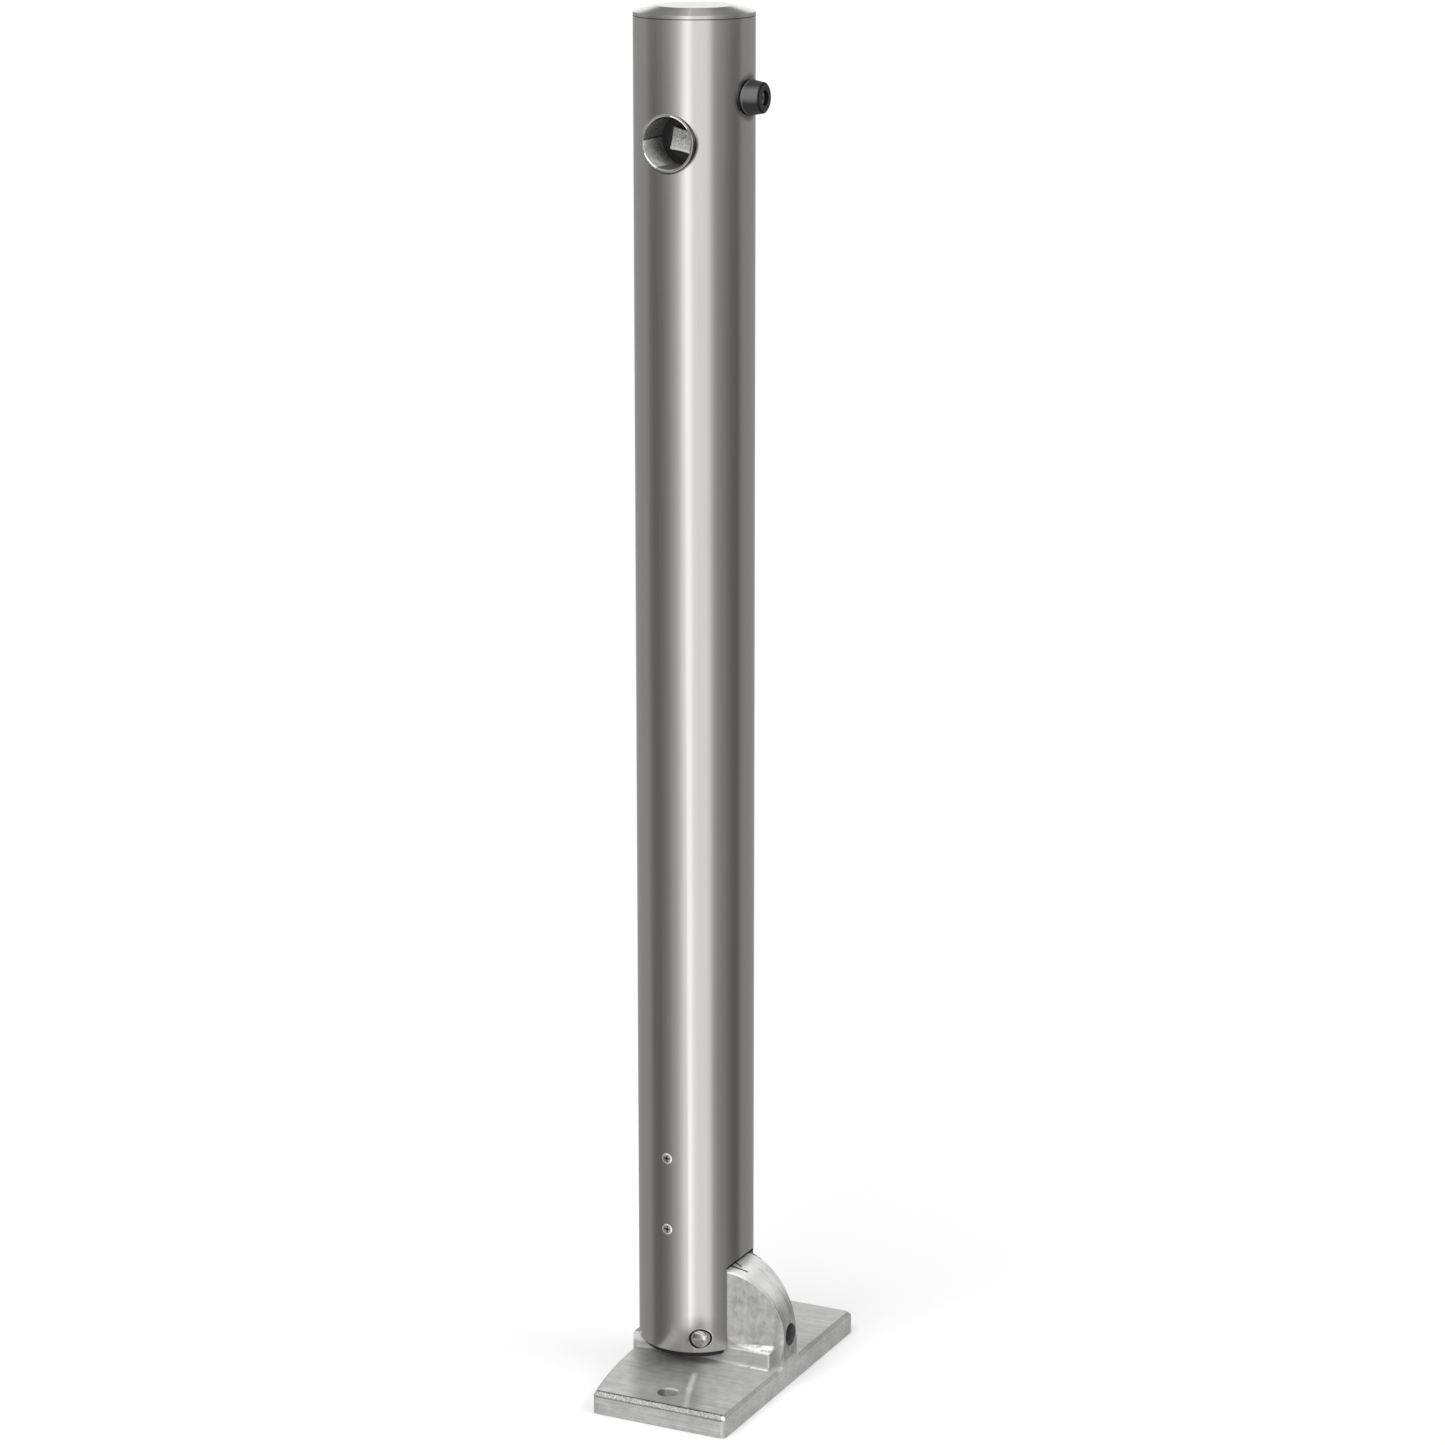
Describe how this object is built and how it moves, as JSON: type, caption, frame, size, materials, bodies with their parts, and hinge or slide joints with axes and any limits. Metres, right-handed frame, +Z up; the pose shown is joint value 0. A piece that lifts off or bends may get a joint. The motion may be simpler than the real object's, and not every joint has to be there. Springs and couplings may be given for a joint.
{
  "type": "fold-down bollard",
  "caption": "Round steel post hinged on a cast foot, folded flat once its key lock has drawn the bolt; a rubber buffer meets the ground when it lies down.",
  "frame": {"origin": "on the post's axis at the underside of the foot", "axes": "+Z up, +X the way the post folds and the buffer points, +Y along the pivot pin, away from the key opening"},
  "size_m": [0.1074, 0.2, 0.9],
  "materials": {
    "post_steel": "brushed along the tube",
    "cap_steel": "brushed, turned shoulder",
    "sleeve_steel": "bare, edge polished",
    "spindle_steel": "cast, slightly mottled",
    "lock_steel": "zinc plated",
    "pin_steel": "ground and polished",
    "screw_steel": "bare",
    "spring_steel": "oiled wire",
    "cast_foot": "cast, ground and scratched on its faces",
    "bush_bronze": "plain bored",
    "cheek_plastic": "moulded, matt",
    "guide_plastic": "turned, matt",
    "buffer_rubber": "moulded, matt"
  },
  "bodies": {
    "base": {"base_casting": "cast_foot", "pivot_bush_near": "bush_bronze", "pivot_bush_far": "bush_bronze"},
    "post": {"post_tube": "post_steel", "top_cap": "cap_steel", "lock_sleeve": "sleeve_steel", "lock_plate": "lock_steel", "guide_block": "guide_plastic", "spring_stop": "guide_plastic", "bolt_spring": "spring_steel", "guide_screws": "screw_steel", "pivot_pin": "pin_steel", "bearing_cheek_near": "cheek_plastic", "bearing_cheek_far": "cheek_plastic", "rubber_buffer": "buffer_rubber", "buffer_insert": "lock_steel", "buffer_washer": "screw_steel", "buffer_screw": "screw_steel"},
    "key": {"key_spindle": "spindle_steel", "crank_lever": "lock_steel", "crank_pin": "pin_steel", "spindle_clip": "spring_steel"},
    "bolt": {"rod_yoke": "lock_steel", "lock_rod": "lock_steel", "yoke_nut": "lock_steel", "lock_bolt": "pin_steel"}
  },
  "joints": [
    {"name": "fold", "type": "hinge", "parent": "base", "child": "post", "pos_m": [0.0188, 0, 0.0347], "axis": [0, 1, 0], "range_deg": [0, 90]},
    {"name": "key_turn", "type": "hinge", "parent": "post", "child": "key", "pos_m": [0, 0, 0.8186], "axis": [0, 1, 0], "range_deg": [0, 90]},
    {"name": "bolt_slide", "type": "slide", "parent": "post", "child": "bolt", "axis": [0, 0, -1], "range_m": [0, 0.02], "deforming": ["bolt_spring"]}
  ],
  "couplings": [
    {"joint": "key_turn", "follows": "bolt_slide", "rad_per_m": 78.5}
  ]
}
